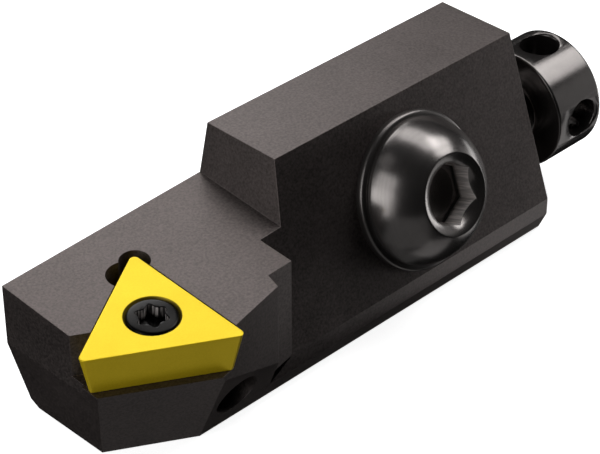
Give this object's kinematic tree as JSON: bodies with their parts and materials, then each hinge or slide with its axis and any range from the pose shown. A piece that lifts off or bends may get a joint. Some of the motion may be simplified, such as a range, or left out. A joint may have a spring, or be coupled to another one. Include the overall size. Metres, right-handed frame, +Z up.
{
  "type": "indexable turning cartridge",
  "caption": "Steel turning cartridge with a screw-clamped triangular insert, a domed clamp screw with washer, and screws that adjust its length and its radial reach.",
  "frame": {"origin": "corner of the recess that takes the cartridge: its rear end face, its mounting side face and its underside meet there (the two long faces are joined by a small chamfer)", "axes": "+X along the holder to the cutting end, +Y from the mounting face out to the clamp screw's side, +Z up, from the underside to the insert's rake face"},
  "size_m": [0.05, 0.0205, 0.015],
  "materials": {
    "blackened_steel": "blackened, fine grain, low sheen",
    "coated_carbide": "smooth bright yellow coating over carbide",
    "insert_screw_steel": "blackened, slight sheen",
    "washer_steel": "blackened, slight sheen",
    "black_screw_steel": "black oxide, glossy"
  },
  "bodies": {
    "cartridge": {"cartridge_body": "blackened_steel", "cutting_insert": "coated_carbide", "clamp_washer": "washer_steel"},
    "clamp": {"clamp_screw": "black_screw_steel"},
    "insert_fixing": {"insert_screw": "insert_screw_steel"},
    "axial_adjuster": {"axial_adjusting_screw": "black_screw_steel"},
    "radial_adjuster": {"radial_adjusting_screw": "black_screw_steel"}
  },
  "joints": [
    {"name": "clamp_turn", "type": "hinge", "parent": "cartridge", "child": "clamp", "pos_m": [0.0123, 0.00894, 0.00839], "axis": [0, 0.9382, 0.3461], "continuous": true},
    {"name": "insert_screw_travel", "type": "slide", "parent": "cartridge", "child": "insert_fixing", "axis": [0.0418, 0.0725, 0.9965], "range_m": [0, 0.004]},
    {"name": "axial_travel", "type": "slide", "parent": "cartridge", "child": "axial_adjuster", "axis": [-1, 0, 0], "range_m": [-0.0015, 0.0015]},
    {"name": "radial_travel", "type": "slide", "parent": "cartridge", "child": "radial_adjuster", "axis": [0, -1, 0], "range_m": [-0.0015, 0.0015]}
  ]
}
